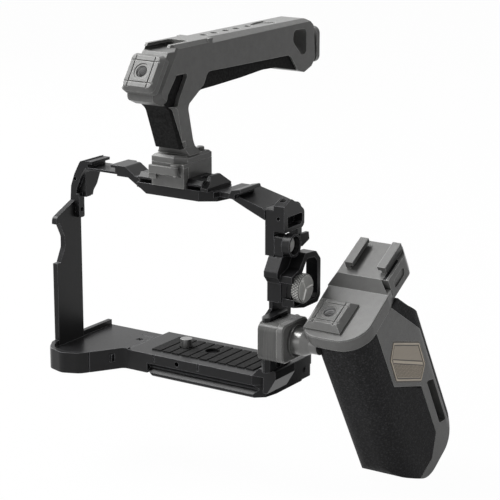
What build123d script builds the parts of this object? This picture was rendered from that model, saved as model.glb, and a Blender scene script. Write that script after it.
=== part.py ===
from build123d import *
import math
import os

os.makedirs("parts", exist_ok=True)

# Camera cage kit, in millimetres. Origin: mouth of the tripod socket, in the sole of the base plate.
# X runs to the camera's left-hand side, Y to the back, Z up. The lens looks along -Y.

# ---------------------------------------------------------------- camera bay
bay_left = -80.5          # inner face of the left upright
side_inner = 45.6         # inner face of the right wall
side_wall_thickness = 2.0
bay_floor = 13.0          # the camera stands here
lens_plane = -22.0        # front of the cage's frame
wall = 3.7                # wall of the side frames

# ---------------------------------------------------------------- base plate
foot_width = 38.0         # dovetail foot, front to back
foot_front = -21.5
foot_left = -28.0
foot_height = 7.0
foot_neck = 2.3           # depth of the dovetail groove
tray_left = -41.0
tray_right = 46.5
tray_back = 16.5
pad_thickness = 1.0
wrap_wall = 2.6           # wall that hugs the camera's hand grip
wrap_bottom = 1.5
wrap_left = -83.6
wrap_seam_x = -54.5
seam_gap = 0.3
socket_radius = 3.175     # 1/4 inch thread
socket_depth = 9.0
camera_screw_x = -16.0
screw_fit = 0.05
lap_end = -46.5           # tip of the left frame's tongue
lap_height = 5.8
lap_screw_seat = 8.5
lap_screws = ((-50.5, -20), (-50.5, 2))
foot_screw = (44.4, -12)       # (x, y) of the screw in the right foot

# ---------------------------------------------------------------- rails and their clamps
rail_width = 21.0
rail_neck = 17.0
rail_thickness = 5.0
rail_fit = 0.1            # running gap between a rail and its clamp
jaw_gap = 0.15            # between a clamp and its jaw
clamp_length = 20.5       # along the rail
clamp_jaw = 2.3           # jaw outside the rail's tip
clamp_depth = 17.2        # from the hook's edge to the clamp's back
hook_depth = 4.8          # part of it that reaches past the rail's top face

side_rail_y = -16.5       # centre line of the side rail
side_rail_x = 47.6        # its base
side_rail_bottom = 17.0
side_rail_length = 29.5
side_rail_top = side_rail_bottom + side_rail_length
side_rail_screw_z = (side_rail_bottom + 3.5, side_rail_top - 3.5)

thumb_rise = 13.9         # from the side rail's end up to the cable clamp's thumbscrew
lug_rise = 23.2           # from there up to the clamp's fixing screw
deck_rise = 23.0          # from there up to the top of the front band
thumb_z = side_rail_top + thumb_rise
lug_z = thumb_z + lug_rise
top_deck = lug_z + deck_rise
band_thickness = 5.6
band_bottom = top_deck - band_thickness
tab_screw = (-12.7, top_deck - 22.6)      # (y, z) of the screw in the left upright
strip_screw = (3.8, top_deck - 8.1)       # (y, z) of the screw in the right wall
arm_drop = 17.4
arm_foot = top_deck - arm_drop            # joint of the left upright and the arm above it

top_rail_y = -10.75       # centre line of the top rail
top_rail_left = -33.0
top_rail_right = 8.0
top_rail_screw_x = (top_rail_left + 4.0, top_rail_right - 4.0)
rail_screw_radius = 1.5
rail_screw_head = 2.75
screw_sink = 2.6          # depth of the rail under its screws' heads
frame_screw_radius = 1.15
frame_screw_head = 2.0

# ---------------------------------------------------------------- cold shoes
shoe_slot = 18.7          # between the side walls
shoe_mouth = 12.6         # between the lips
shoe_height = 2.1         # under the lips
lip_thickness = 1.5
shoe_wall = 2.6
shoe_depth = 19.0
side_shoe_mouth = 14.4    # the side handle's shoe has thicker, shorter lips
side_lip = 2.4

# ---------------------------------------------------------------- top handle
handle_x = -11.75         # centre plane of the handle
handle_width = 20.5
handle_height = 76.0      # from the top rail's base to the top of the bar
bar_depth = 17.3          # at its front end
bar_top = top_deck + handle_height
bar_bottom = bar_top - bar_depth
bar_bevel = 5.0           # long upper bevels
bar_bevel_drop = 2.9
head_front_y = -30.8      # top of the head's sloped front
loop_back = 106.0
leg_bevel = 2.2           # bevels beside the leg's rubber
bevel_depth = 2.4
leg_share = 0.77          # the leg's width above the foot, as a share of the handle's
insert_gap = 0.3
boss_size = 21.0
boss_tilt = 56.0          # lean of the front boss, from level
boss_z = bar_top - 14.9   # where the boss's axis leaves the head
scribe_offset = 5.9       # lines on the bosses, from the thread's axis
insert_radius = 4.35      # outside of the bosses' thread inserts
clamp_height = 12.9
sole_thickness = 4.0      # of the handle, on the clamp
clamp_top = top_deck + clamp_height
foot_top = clamp_top + sole_thickness
top_holes = (10, 20, 31, 41, 52)
release_x = -5.8
release_y = -2.4
release_radius = 2.2
lever_y = -24.3
lever_pin_x = -5.9
lever_thickness = 2.2
lever_pin_radius = 0.6
lever_height = 4.2
lever_top = clamp_top - 1.5
lever_low = lever_top - lever_height
handle_screw_x = (-16.5, -7.0)
screw_seat = top_deck + 8.0       # under the heads of the handle's screws
spring_seat = top_deck + 7.0
button_low = clamp_top - 1.0

# ---------------------------------------------------------------- side handle
neck_y = -16.5            # axis of the rotating neck
neck_z = 34.2
handle_tilt = 30.0        # rest angle about the neck
neck_radius = 7.2
flange_radius = 8.6
flange_thickness = 1.4
head_left = 68.1
head_right = 105.7
grip_left = 71.8
grip_right = 104.6
grip_front = -3.4         # along the head, from the neck
grip_back = 58.5
grip_bottom = -114.0      # down the grip, from the neck
panel_bottom = -106.0
head_floor = 10.4
head_under = 3.1
shoe_floor = 15.9
panel_thickness = 2.6
badge_thickness = 1.6
clamp_back = 59.0         # outer face of the side clamp's body
flange_x = 62.8           # face that the neck's flange turns against
neck_start = 52.9
jaw_face = -8.1           # split between the side clamp's body and its rear jaw
jaw_screw_x = 56.0
jaw_screw_z = (27.3, 41.1)
side_boss_x = 81.5
side_boss_u = 10.7
button_x = 96.0           # bottom of the lock button's bore
button_u = 46.4
button_w = 9.4
key_x = 100.6
key_w = 14.6

# ---------------------------------------------------------------- cable clamp
cable_x = 47.9            # inner face, against the wall
loop_inner = 56.0
loop_outer = loop_inner + 7.0
cable_block = loop_inner + 1.7    # outer face of the front block
thumb_y = -10.0
thumb_radius = 7.75
thumb_thickness = 4.4
thumb_thread = 2.0
jaw_thickness = 2.4
knurl_count = 30
knurl_depth = 0.4
lug_y = -14.6
lug_screw_radius = 2.0
lug_inner = side_inner + 5.6      # the lug, against the wall's thick part
lug_face = lug_inner + 5.0
cable_screws = ((-12.2, thumb_z - 3.9), (-12.2, thumb_z + 11.6))


# ================================================================ shapes
def prism(corners, plane, length):
    """Extrusion of an outline of (a, b) or (a, b, corner radius) points drawn on a plane."""
    points = [corner[:2] for corner in corners]
    radii = [corner[2] if len(corner) > 2 else 0 for corner in corners]
    outline = FilletPolyline(*points, radius=radii, close=True)
    return extrude(plane * make_face(outline.edges()), amount=length)


def side_cut(corners, x0, x1):
    """Prism of (y, z) points from x0 to x1."""
    return prism(corners, Plane((x0, 0, 0), x_dir=(0, 1, 0), z_dir=(1, 0, 0)), x1 - x0)


def front_cut(corners, y0, y1):
    """Prism of (x, z) points from y0 to y1."""
    return prism(corners, Plane((0, y1, 0), x_dir=(1, 0, 0), z_dir=(0, -1, 0)), y1 - y0)


def plan_cut(corners, z0, z1):
    """Prism of (x, y) points from z0 to z1."""
    return prism(corners, Plane((0, 0, z0)), z1 - z0)


def block(x, y, z):
    """Box between two values on each axis."""
    size = [pair[1] - pair[0] for pair in (x, y, z)]
    return Pos(x[0], y[0], z[0]) * Box(*size, align=(Align.MIN, Align.MIN, Align.MIN))


def rod(start, end, radius):
    """Round bar between two points."""
    axis = Vector(*end) - Vector(*start)
    return extrude(Plane(start, z_dir=axis) * Circle(radius), amount=axis.length)


def moved(corners, a, b):
    """Outline moved by (a, b); corner radii stay."""
    return [(corner[0] + a, corner[1] + b, *corner[2:]) for corner in corners]


def turned(corners):
    """Outline with its two axes exchanged."""
    return [(corner[1], corner[0], *corner[2:]) for corner in corners]


def cap_screw(radius, head_radius, head_height, length, key_radius):
    """Socket head screw, head up from z 0, shank down."""
    head = rod((0, 0, 0), (0, 0, head_height), head_radius)
    hexagon = extrude(Pos(0, 0, head_height * 0.4) * RegularPolygon(key_radius, 6), amount=head_height)
    return head - hexagon + rod((0, 0, -length), (0, 0, 0), radius)


def rail_outline(half, neck, thickness):
    """Half-round-about outline of a dovetail rail: tips at half height."""
    middle = thickness / 2
    step = half - neck
    return [(-neck, 0), (-half, middle - 0.4), (-half, middle + 0.4), (-half + step, thickness),
            (half - step, thickness), (half, middle + 0.4), (half, middle - 0.4), (neck, 0)]


def cold_shoe(mouth, lip):
    """Cold shoe that opens along -Y at the origin: two walls and two lips above its floor."""
    side = shoe_slot / 2
    top = shoe_height + lip
    along = (-1, shoe_depth + 1)
    body = block((-side - shoe_wall, side + shoe_wall), (0, shoe_depth), (0, top))
    return body - block((-side, side), along, (0, shoe_height)) - block((-mouth / 2, mouth / 2), along,
                                                                        (0, top + 1))


# ================================================================ cage
def wrap_outline(inset):
    """Plan of the hand grip wrap, from the tray to the left upright, moved inwards by inset."""
    return [(tray_left, lens_plane + inset), (-43.5, lens_plane + inset, 4.0),
            (-50.5 + inset * 0.4, -33.0 + inset, 9.0), (-57.5, -43.3 + inset, 8.0),
            (-67.0, -47.2 + inset, 6.0), (-77.5 + inset * 0.4, -44.0 + inset, 8.0),
            (wrap_left + inset, -34.0, 8.0), (wrap_left + inset, tray_back)]


def wrap_shell(x_low, x_high):
    """Floor and wall of the grip wrap between two X values."""
    outer = plan_cut(wrap_outline(0) + [(tray_left, tray_back)], wrap_bottom, bay_floor)
    inner = plan_cut(wrap_outline(wrap_wall) + [(tray_left, tray_back + 1)], wrap_bottom + 8.6,
                     bay_floor + 1)
    shell = outer - inner
    return shell & block((x_low, x_high), (-60, 60), (0, 20))


def dovetail_foot():
    """Foot with a 45 degree groove along its front and back."""
    back = foot_front + foot_width
    lower = 1.8
    upper = lower + 2 * foot_neck + 0.6
    half = [(foot_front + 0.5, 0), (foot_front, 0.5), (foot_front, lower),
            (foot_front + foot_neck, lower + foot_neck), (foot_front + foot_neck, upper - foot_neck),
            (foot_front, upper)]
    mirrored = [(foot_front + back - y, z) for y, z in reversed(half)]
    foot = side_cut(half + mirrored, foot_left, tray_right)
    corner_cut = plan_cut([(38.5, foot_front - 1), (50, foot_front - 1), (50, -9), (tray_right, -9),
                           (45.0, -17)], -1, foot_height + 1)
    end_cut = front_cut([(foot_left - 1, -1), (foot_left + 4, -1), (foot_left - 1, 4)], -40, 40)
    return foot - corner_cut - end_cut


def base_plate():
    tray = plan_cut([(tray_left, lens_plane), (39.5, lens_plane), (46.5, -16.5), (46.5, 28, 3),
                     (30, 28), (26, tray_back), (tray_left, tray_back)], foot_height, bay_floor - 0.6)
    wrap = wrap_shell(wrap_seam_x + seam_gap / 2, tray_left)
    step = plan_cut([(tray_left, lens_plane), (foot_left, lens_plane), (foot_left, tray_back),
                     (tray_left, tray_back)], wrap_bottom, foot_height)
    plate = tray + dovetail_foot() + wrap + step - lap(0.0)
    rear_block = plan_cut([(30, tray_back), (46.5, 3), (46.5, 27, 3), (33, 27, 3)], 0.6, foot_height)
    plate += rear_block
    plate -= block((-30, 36), (-15, 11), (bay_floor - 0.6 - pad_thickness, bay_floor))
    plate -= rod((0, 0, -1), (0, 0, socket_depth), socket_radius)
    x = camera_screw_x
    plate -= rod((x, -2, -1), (x, -2, 3.6), 5.4)
    plate -= rod((x, -2, -1), (x, -2, 20), socket_radius + screw_fit)
    for x, y in lap_screws:
        plate -= rod((x, y, 2.4), (x, y, 9), 1.2)
    x, y = foot_screw
    plate -= rod((x, y, foot_height - 1), (x, y, foot_height + 1.5), 2.1)
    plate -= rod((x, y, foot_height - 1), (x, y, bay_floor), 1.3)
    plate -= plan_cut([(6, -13, 2), (32, -13, 2), (32, 9, 2), (10, 9, 2)], -1, 4.5)
    plate -= front_cut([(-23.8, 8.4), (-23.0, 8.4), (-23.0, 13), (-23.8, 13)], lens_plane - 1,
                       lens_plane + 0.5)
    plate -= front_cut([(4.8, 8.4), (5.6, 8.4), (5.6, 13), (4.8, 13)], lens_plane - 1,
                       lens_plane + 0.5)
    plate -= rod((47, 20, 5.0), (20, 20, 5.0), 1.55)
    plate -= rod((-8.5, lens_plane - 1, 9.6), (-8.5, lens_plane + 5, 9.6), 1.3)
    return plate


def base_pad():
    pad = block((-29.8, 35.8), (-14.8, 10.8), (bay_floor - 0.6 - pad_thickness, bay_floor))
    pad -= rod((camera_screw_x, -2, 0), (camera_screw_x, -2, 20), socket_radius + 0.6)
    pad -= rod((0, 0, 0), (0, 0, 20), socket_radius + 1)
    for x in range(-24, 34, 6):
        pad -= block((x, x + 1.2), (-16, 12), (bay_floor - 0.4, bay_floor + 1))
    return pad


def camera_screw():
    """Captive screw that holds the camera: slotted head in the sole, thread above the floor."""
    x = camera_screw_x
    head = rod((x, -2, 0.4), (x, -2, 3.2), 5.2)
    head -= block((x - 0.7, x + 0.7), (-9, 5), (0, 1.6))
    neck = rod((x, -2, 3.2), (x, -2, bay_floor), 2.6)
    return head + neck + rod((x, -2, bay_floor), (x, -2, bay_floor + 4.8), socket_radius)


def base_key():
    """Hex key kept in its bore at the back right corner."""
    return rod((46.9, 20, 5.0), (21, 20, 5.0), 1.5)


def lap(gap):
    """Tongue of the left frame that lies on a ledge of the base plate, inside the wrap."""
    return block((wrap_seam_x - seam_gap, lap_end - gap), (-29 + gap, 9 - gap),
                 (lap_height + gap, wrap_bottom + 8.6))


def left_side_frame():
    """Corner of the grip wrap with the slim upright that runs up beside the grip."""
    corner = wrap_shell(-100, wrap_seam_x - seam_gap / 2)
    outer = wrap_left
    upright = side_cut([(-31.5, wrap_bottom + 8), (-10, wrap_bottom + 8), (-10, arm_foot),
                        (-15, arm_foot), (-31.5, arm_foot - 7.0, 3)], outer, bay_left)
    ease = moved([(-28.5, -32.5), (-24.5, -24.5, 4), (-24.5, -18.5, 4), (-28.5, -10.5), (-40, -10.5),
                  (-40, -32.5)], 0, arm_foot)
    frame = corner + upright - side_cut(ease, outer - 1, bay_left + 1) + lap(0.1)
    for x, y in lap_screws:
        frame -= rod((x, y, 0), (x, y, 20), frame_screw_radius + 0.15)
        frame -= rod((x, y, lap_screw_seat), (x, y, 20), frame_screw_head + 0.1)
    y, z = tab_screw
    frame -= rod((outer - 1, y, z), (bay_left + 1, y, z), frame_screw_radius + 0.15)
    return frame - rod((outer - 1, y, z), (outer + 1.5, y, z), frame_screw_head + 0.1)


def left_arm():
    """Sloped arm from the left upright up to the shoe, with its screw hole."""
    outer = wrap_left
    arm = moved([(outer, -arm_drop), (outer + 0.6, -9.6), (bay_left, -2.6), (-76.5, 4.7, 2), (-72.7, 5.8),
                 (-72.7, 1.4), (-75.2, -2.1), (-79.0, -10.6), (bay_left, -arm_drop)], 0, top_deck)
    gusset = moved([(-12, -15.6), (-8, -15.6), (-2, -9.6), (1, -3.6, 2), (1, 1.4), (-12, 1.4)], 0, top_deck)
    tab = moved([(-15, -27.1, 1), (-10.4, -27.1, 1), (-10.4, -13.6), (-15, -13.6)], 0, top_deck)
    y, z = tab_screw
    solid = front_cut(arm, -15, 1) + side_cut(gusset, bay_left + 1.5, bay_left + 5.5)
    solid += side_cut(tab, bay_left + 0.1, bay_left + 2.9)
    solid -= rod((bay_left, y, z), (bay_left + 4, y, z), frame_screw_radius + 0.05)
    return solid - rod((-80.2, -16, top_deck - 5.4), (-80.2, -8, top_deck - 5.4), 1.0)


def front_band():
    """Deck under the top rail: band across the front with a bevelled right corner."""
    low = band_bottom - 1
    deck = plan_cut([(top_rail_left, lens_plane), (6.6, lens_plane), (14.5, lens_plane + 5.5),
                     (16.5, -8), (12, 1, 2), (top_rail_left, 1, 2)], band_bottom, top_deck)
    lower_left = front_cut([(top_rail_left - 1, low), (top_rail_left + 6, low),
                            (top_rail_left + 6, band_bottom), (top_rail_left + 1.4, band_bottom + 3),
                            (top_rail_left - 1, band_bottom + 3)], -30, 10)
    hump = side_cut([(-17, low), (-17, band_bottom + 1.4), (10, band_bottom + 1.4), (10, low)], -26, 8)
    return deck - lower_left - hump


def shoe_bridge():
    """Cold shoe on the left, and the sloped arm from it down to the band."""
    low = top_deck + 0.5
    floor = top_deck + 1.7
    centre = -62.0
    right = centre + shoe_slot / 2 + shoe_wall - 1.35
    bed = front_cut([(-72.7, low), (right, low), (right, floor), (-72.7, floor)], -15, 1)
    shoe = Pos(centre, -15, floor) * cold_shoe(shoe_mouth, lip_thickness)
    shoe &= block((-72.7, right + 1.35), (-15, 1), (floor - 1, floor + 10))
    arm = moved([(right, 5.3), (-46.0, 5.3, 2), (-39.5, 0.9, 2), (top_rail_left, 0),
                 (top_rail_left, -5.0), (-36.5, -5.0), (-44.0, -0.4), (right, -0.4)], 0, top_deck)
    return bed + shoe + front_cut(arm, -15, -1)


def right_strip():
    """Strip that follows the camera's shoulder to the right, with a hooked lip across it."""
    strip = moved([(14.5, -3.0), (24.2, -3.0), (side_inner, -10.7), (side_inner, -5.6), (44, -4.6),
                   (26.0, -0.2), (14.5, -0.2)], 0, top_deck)
    hook = moved([(23.5, -2.1), (25.5, 2.2, 1), (31.0, 3.4, 0.8), (31.4, 1.6), (27.6, 0.4),
                  (27.4, -2.1)], 0, top_deck)
    corner = plan_cut([(13, -25), (50, -25), (50, -20), (34, -18.5), (16, -16)], top_deck - 16,
                      top_deck + 4)
    return front_cut(strip, -20, 6.5) - corner + front_cut(hook, -20, -1)


def top_frame():
    frame = left_arm() + shoe_bridge() + front_band() + right_strip()
    for x in top_rail_screw_x:
        frame -= rod((x, top_rail_y, band_bottom - 5), (x, top_rail_y, top_deck + 5),
                     rail_screw_radius + screw_fit)
    y, z = strip_screw
    return frame - rod((side_inner - 4.5, y, z), (side_inner + 1, y, z), frame_screw_radius + 0.05)


def top_rail():
    """Dovetail rail along X on the deck, with a sloped stop at its right end."""
    outline = moved(rail_outline(rail_width / 2, rail_neck / 2, rail_thickness), top_rail_y, top_deck)
    rail = side_cut(outline, top_rail_left, top_rail_right)
    stop = moved([(-22, 0), (-22, 1.6), (-17, 4.4), (-15, 7.0), (-6.5, 7.0, 1.5), (0, 1.6), (0, 0)], 0,
                 top_deck)
    slope = moved([(1.2, 7.4), (5, 7.4), (5, 0.4)], top_rail_right, top_deck)
    rail += side_cut(stop, top_rail_right, top_rail_right + 4.2) - front_cut(slope, -30, 5)
    rail -= block((top_rail_left - 1, top_rail_left + 0.8), (top_rail_y - 20, top_rail_y + 20),
                  (top_deck + 3.2, top_deck + 10))
    for x in top_rail_screw_x:
        rail -= rod((x, top_rail_y, band_bottom), (x, top_rail_y, top_deck + 10),
                    rail_screw_radius + screw_fit)
        rail -= rod((x, top_rail_y, top_deck + rail_thickness - screw_sink),
                    (x, top_rail_y, top_deck + 10), rail_screw_head + 0.15)
    return rail


def rail_screws():
    """Two screws of each rail, heads sunk in the rail."""
    screw = cap_screw(rail_screw_radius, rail_screw_head, 2.0, 6.5, 1.3)
    seat = rail_thickness - screw_sink
    top = [Pos(x, top_rail_y, top_deck + seat) * screw for x in top_rail_screw_x]
    side = [Pos(side_rail_x + seat, side_rail_y, z) * Rot(0, 90, 0) * screw for z in side_rail_screw_z]
    return Compound(children=top + side)


def side_wall():
    """Right wall: thin behind the rail, a post beside the ports, thick at the top."""
    floor = bay_floor - 0.6
    thin = side_cut([(lens_plane, floor), (3, floor), (3, side_rail_top + 1.5, 2), (-9, side_rail_top + 3.5),
                     (-9, lug_z - 3.6), (-15.2, lug_z - 3.6), (-15.2, side_rail_top + 1.5),
                     (lens_plane, side_rail_top - 2.5, 2)], side_inner, side_inner + side_wall_thickness)
    thick = side_cut([(-19, lug_z - 6.1), (8, lug_z - 6.1, 4), (8, top_deck - 4.6, 6),
                      (-19, top_deck - 4.6, 1)], side_inner, side_inner + 5.3)
    window = side_cut([(-8, lug_z - 1.6, 2), (4, lug_z - 1.6, 2), (4, top_deck - 10.6, 2),
                       (-8, top_deck - 10.6, 2)], side_inner - 1, side_inner + 6)
    return thin + thick - window


def strap_eyelet():
    """Hollow block at the top of the right wall that a strap passes through."""
    inner = side_inner
    shell = moved([(-19, -16.4, 1), (-1, -16.4, 2.0), (0.6, -14.6, 1.5), (0.6, -7.6, 3), (-4, -4.1, 2),
                   (-12, 0.4, 2), (-19, -2.6)], 0, top_deck)
    hollow = moved([(-15.5, -14.4, 1), (-3, -14.4, 1.0), (-1.5, -13.0, 1), (-1.5, -8.6, 1.5),
                    (-15.5, -8.6)], 0, top_deck)
    eyelet = side_cut(shell, inner + 5.0, inner + 11.4) - side_cut(hollow, inner + 6.4, inner + 15)
    return eyelet - block((inner + 6.4, inner + 9.6), (-15.5, -3.0), (top_deck - 9.1, top_deck + 10))


def right_side_frame():
    """Right wall, its foot on the base plate and the strap eyelet."""
    inner = side_inner
    foot = front_cut([(39.5, bay_floor - 0.6), (tray_right, bay_floor - 0.6), (tray_right, 4.0), (49.0, 4.0),
                      (54.0, bay_floor - 0.6), (54.0, side_rail_bottom, 1), (44.0, side_rail_bottom)],
                     lens_plane, -3)
    frame = side_wall() + foot + strap_eyelet()
    frame -= rod((53.5, -22, top_deck - 9.1), (53.5, -17, top_deck - 9.1), 1.0)
    for z in side_rail_screw_z:
        frame -= rod((40, side_rail_y, z), (60, side_rail_y, z), rail_screw_radius + screw_fit)
    for y, z in cable_screws:
        sink = Pos(inner, y, z) * Rot(0, 90, 0) * Cone(2.3, 1.25, 1.05,
                                                       align=(Align.CENTER, Align.CENTER, Align.MIN))
        frame = frame - rod((40, y, z), (inner + 6, y, z), 1.25) - sink
    frame -= rod((inner - 1, lug_y, lug_z), (60, lug_y, lug_z), lug_screw_radius + screw_fit)
    y, z = strip_screw
    frame -= rod((inner - 1, y, z), (60, y, z), frame_screw_radius + 0.15)
    frame -= rod((inner + 3.8, y, z), (60, y, z), frame_screw_head + 0.1)
    x, y = foot_screw
    return frame - rod((x, y, bay_floor - 1), (x, y, bay_floor + 2.2), frame_screw_radius + 0.05)


def side_rail():
    """Upright dovetail rail on the right side."""
    outline = moved(turned(rail_outline(rail_width / 2, rail_neck / 2, rail_thickness)), side_rail_x,
                    side_rail_y)
    rail = plan_cut(outline, side_rail_bottom, side_rail_top)
    seat = side_rail_x + rail_thickness - screw_sink
    for z in side_rail_screw_z:
        rail -= rod((40, side_rail_y, z), (60, side_rail_y, z), rail_screw_radius + screw_fit)
        rail -= rod((seat, side_rail_y, z), (60, side_rail_y, z), rail_screw_head + 0.15)
    return rail


def frame_screws():
    """Screws of the cage: two in the lap, one each for the left tab, the strip and the right foot."""
    lap_pair = [Pos(x, y, lap_screw_seat) * frame_screw(5.0) for x, y in lap_screws]
    y, z = tab_screw
    tab = Pos(wrap_left + 1.5, y, z) * Rot(0, -90, 0) * frame_screw(3.5)
    y, z = strip_screw
    strip = Pos(side_inner + 3.8, y, z) * Rot(0, 90, 0) * frame_screw(7.5)
    x, y = foot_screw
    foot = Pos(x, y, foot_height + 1.5) * Rot(180, 0, 0) * frame_screw(6.0)
    return Compound(children=lap_pair + [tab, strip, foot])


def frame_screw(length):
    """Small socket head screw of the cage."""
    return cap_screw(frame_screw_radius, frame_screw_head, 1.3, length, 0.9)


# ================================================================ cable clamp
def cable_body():
    """Bracket on the side wall with the loop that the plugs pass through."""
    low, high = thumb_z - 6.6, thumb_z + 3.6
    front = moved([(-20.5, -6.6, 1), (-20.5, 3.6), (-23.8, 7.4, 0.5), (-23.8, 9.9, 1), (-19.2, 17.0, 0.5),
                   (-9.4, 17.0), (-9.4, 5.6), (-4.5, 3.6), (-4.5, -6.6)], 0, thumb_z)
    block_ = plan_cut([(cable_x, -20.5), (loop_inner - 1.2, -20.5), (cable_block, -17.6),
                       (cable_block, -4.5), (cable_x, -4.5)], low, high)
    loop = moved([(-19.0, -8.4), (-9.0, -10.6, 2), (4.5, -10.6, 2), (7.2, -7.4, 2), (7.2, 12.1, 3),
                  (2.5, 17.2, 3), (-8.0, 18.0, 2), (-13.5, 10.6, 3), (-21.0, 8.2), (-21.0, 4.6),
                  (-12.0, 4.6), (-12.0, -4.4), (-19.0, -4.4)], 0, thumb_z)
    window = moved([(-18.6, -8.1), (2.8, -8.1, 1), (4.2, -5.8, 1), (4.2, 11.1, 2), (1.2, 14.2, 2),
                    (-6.2, 15.0, 2), (-11.0, 8.2, 2), (-18.6, 8.2)], 0, thumb_z)
    port = moved([(-3.8, -5.8, 1), (4.2, -5.8, 1), (4.2, 11.1, 2), (1.2, 14.2, 2), (-3.8, 14.2, 2)], 0,
                 thumb_z)
    lug = moved([(-19.0, -6.0, 1), (-9.5, -6.0, 3), (-9.5, 4.6, 3), (-19.0, 4.6, 1)], 0, lug_z)
    neck = block((lug_inner, loop_inner), (-18.5, -9.6), (thumb_z + 15.6, lug_z - 4.6))
    body = side_cut(front, cable_x, loop_inner) + block_ + side_cut(loop, loop_inner, loop_outer)
    body += side_cut(lug, lug_inner, lug_face) + neck
    body -= side_cut(window, cable_block, loop_outer + 1) + side_cut(port, cable_x - 1, loop_outer + 1)
    body -= rod((cable_x - 1, thumb_y, thumb_z), (80, thumb_y, thumb_z), thumb_thread + screw_fit)
    body -= rod((side_inner, lug_y, lug_z), (70, lug_y, lug_z), lug_screw_radius + screw_fit)
    for y, z in cable_screws:
        body -= rod((cable_x - 1, y, z), (cable_x + 5, y, z), 1.3)
    return body


def cable_jaw():
    """Plate under the thumbscrew that closes on the plug."""
    x0 = cable_block + 0.2
    plate = moved([(-17.4, -7.2, 1.5), (-4.6, -7.2, 1.5), (-4.6, 6.6, 1.5), (-17.4, 6.6, 1.5)], 0, thumb_z)
    return side_cut(plate, x0, x0 + jaw_thickness) - rod((x0 - 1, thumb_y, thumb_z),
                                                         (x0 + 4, thumb_y, thumb_z),
                                                         thumb_thread + screw_fit)


def thumbscrew():
    """Knurled screw with three ridges and a coin notch on its face."""
    x0 = cable_block + jaw_thickness + 0.4
    x1 = x0 + thumb_thickness
    at_axis = Pos(0, thumb_y, thumb_z)
    knob = chamfer(rod((x0, 0, 0), (x1, 0, 0), thumb_radius).edges().group_by(Axis.X)[-1], 0.8)
    deep, high = thumb_radius - knurl_depth, thumb_radius + knurl_depth
    notch = side_cut([(deep, 0), (high, knurl_depth * 1.4), (high, -knurl_depth * 1.4)], x0 - 1, x1 + 1)
    for i in range(knurl_count):
        knob -= Rot(360 / knurl_count * i, 0, 0) * notch
    ridge = block((x1, x1 + 0.6), (0, thumb_radius - 1.6), (-0.5, 0.5))
    for angle in (5, 125, 245):
        knob += Rot(angle, 0, 0) * ridge
    knob -= block((x1 - 2.5, x1 + 2), (thumb_radius - 1.75, thumb_radius + 1), (-0.9, 0.9))
    return at_axis * (knob + rod((cable_x + 1.0, 0, 0), (x0, 0, 0), thumb_thread))


def lug_screw():
    """Slotted screw that fixes the clamp's lug to the cage."""
    head = rod((lug_face, lug_y, lug_z), (lug_face + 1.8, lug_y, lug_z), 4.3)
    head = chamfer(head.edges().group_by(Axis.X)[-1], 0.3)
    head -= block((lug_face + 1.0, lug_face + 3), (lug_y - 0.5, lug_y + 0.5), (lug_z - 5, lug_z + 5))
    return head + rod((side_inner + 2.0, lug_y, lug_z), (lug_face, lug_y, lug_z), lug_screw_radius)


def lock_lever():
    """Ring round the slotted screw with the tab that locks it."""
    x0 = lug_face + 0.1
    ring = rod((x0, lug_y, lug_z), (x0 + 4.6, lug_y, lug_z), 6.0)
    ring -= rod((x0 - 1, lug_y, lug_z), (x0 + 7, lug_y, lug_z), 4.9)
    tab = moved([(5.2, -1.0), (5.0, 2.2), (5.8, 4.8, 1), (13.8, 4.6, 0.6), (14.6, 0.4, 0.6), (7.6, -2.0)],
                lug_y, lug_z)
    return ring + (side_cut(tab, x0 + 2.6, x0 + 4.2) - rod((x0 - 1, lug_y, lug_z), (x0 + 7, lug_y, lug_z),
                                                           5.4))


def cable_fixings():
    """Two countersunk screws from inside the wall into the clamp's body."""
    screw = revolve(make_face(Polyline((0, 0), (2.2, 0), (1.2, 1.0), (1.2, 5.0), (0, 5.0),
                                       close=True).edges()), Axis.Y, 360)
    return Compound(children=[Pos(side_inner, y, z) * Rot(0, 0, -90) * screw
                              for y, z in cable_screws])


# ================================================================ quick-release clamps
def clamp_section(margin):
    """Section across the rail: hooks, body and back, in (across, away from the rail's base)."""
    half = rail_width / 2 + clamp_jaw
    top = rail_thickness + clamp_depth - hook_depth
    low = rail_thickness - hook_depth
    tip = rail_width / 2 + margin
    neck = rail_neck / 2 + 3 * margin
    middle = rail_thickness / 2
    ceiling = rail_thickness + margin
    return [(-half, low), (-neck, low), (-tip, middle - 0.4), (-tip, middle + 0.4),
            (-neck, ceiling), (neck, ceiling), (tip, middle + 0.4), (tip, middle - 0.4),
            (neck, low), (half, low), (half, top, 2.5), (-half, top, 2.5)]


def top_clamp_solid():
    """Whole quick-release clamp on the top rail, still one solid."""
    outline = moved(clamp_section(rail_fit), top_rail_y, top_deck)
    x0 = handle_x - clamp_length / 2
    return side_cut(outline, x0, x0 + clamp_length)


def jaw_split(solid, front):
    """Front jaw of a top clamp, or what is left of the clamp without it."""
    face = top_rail_y - rail_neck / 2 - rail_fit
    split_z = top_deck + rail_thickness + 6.0
    if front:
        return solid & block((-60, 40), (-60, face), (top_deck - 20, split_z))
    return solid - block((-60, 40), (-60, face + jaw_gap), (top_deck - 20, split_z + jaw_gap))


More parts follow.
